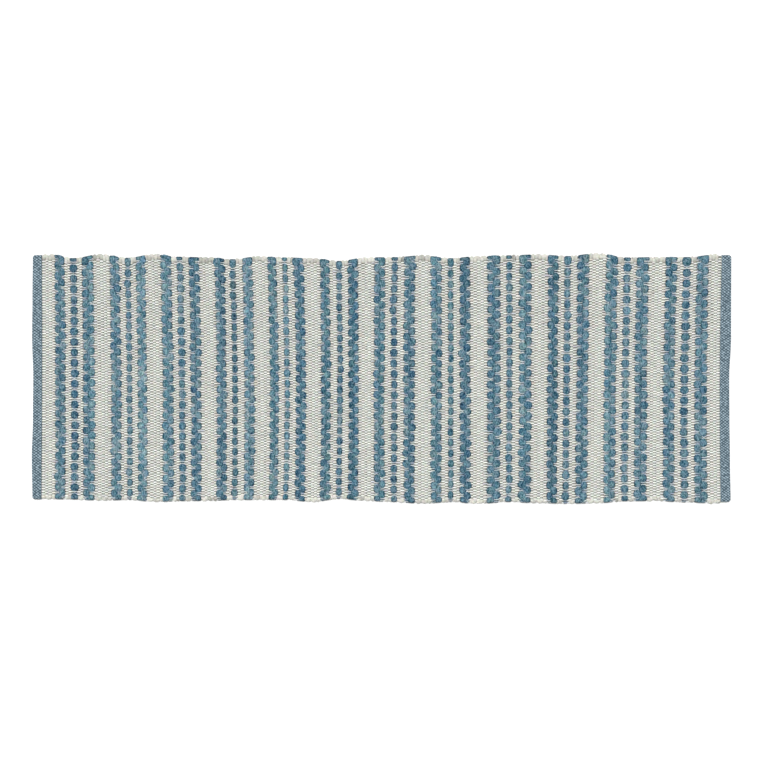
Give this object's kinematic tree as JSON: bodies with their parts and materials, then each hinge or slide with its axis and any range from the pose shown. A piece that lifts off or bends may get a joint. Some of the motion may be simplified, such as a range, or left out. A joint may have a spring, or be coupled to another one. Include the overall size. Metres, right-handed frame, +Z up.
{
  "type": "rag rug",
  "caption": "Flat woven rag runner: pale cotton ground crossed by groups of blue rag stripes in a raised pebble weave, its cut ends bound in folded twill tape.",
  "frame": {"origin": "middle of the bounding box on the floor the rug lies on", "axes": "+X along the rug, towards the end that is on the right in the picture; +Y across it, towards the edge at the top of the picture; +Z up"},
  "size_m": [2.0002, 0.7202, 0.0106],
  "materials": {
    "cotton_ground": "matt natural cotton, woven",
    "rag_weft": "matt blue cotton rags in mixed shades",
    "twill_tape": "matt slate-blue cotton twill tape"
  },
  "bodies": {
    "root": {"rug_body": "cotton_ground", "binding_left": "twill_tape", "binding_right": "twill_tape"}
  },
  "joints": []
}
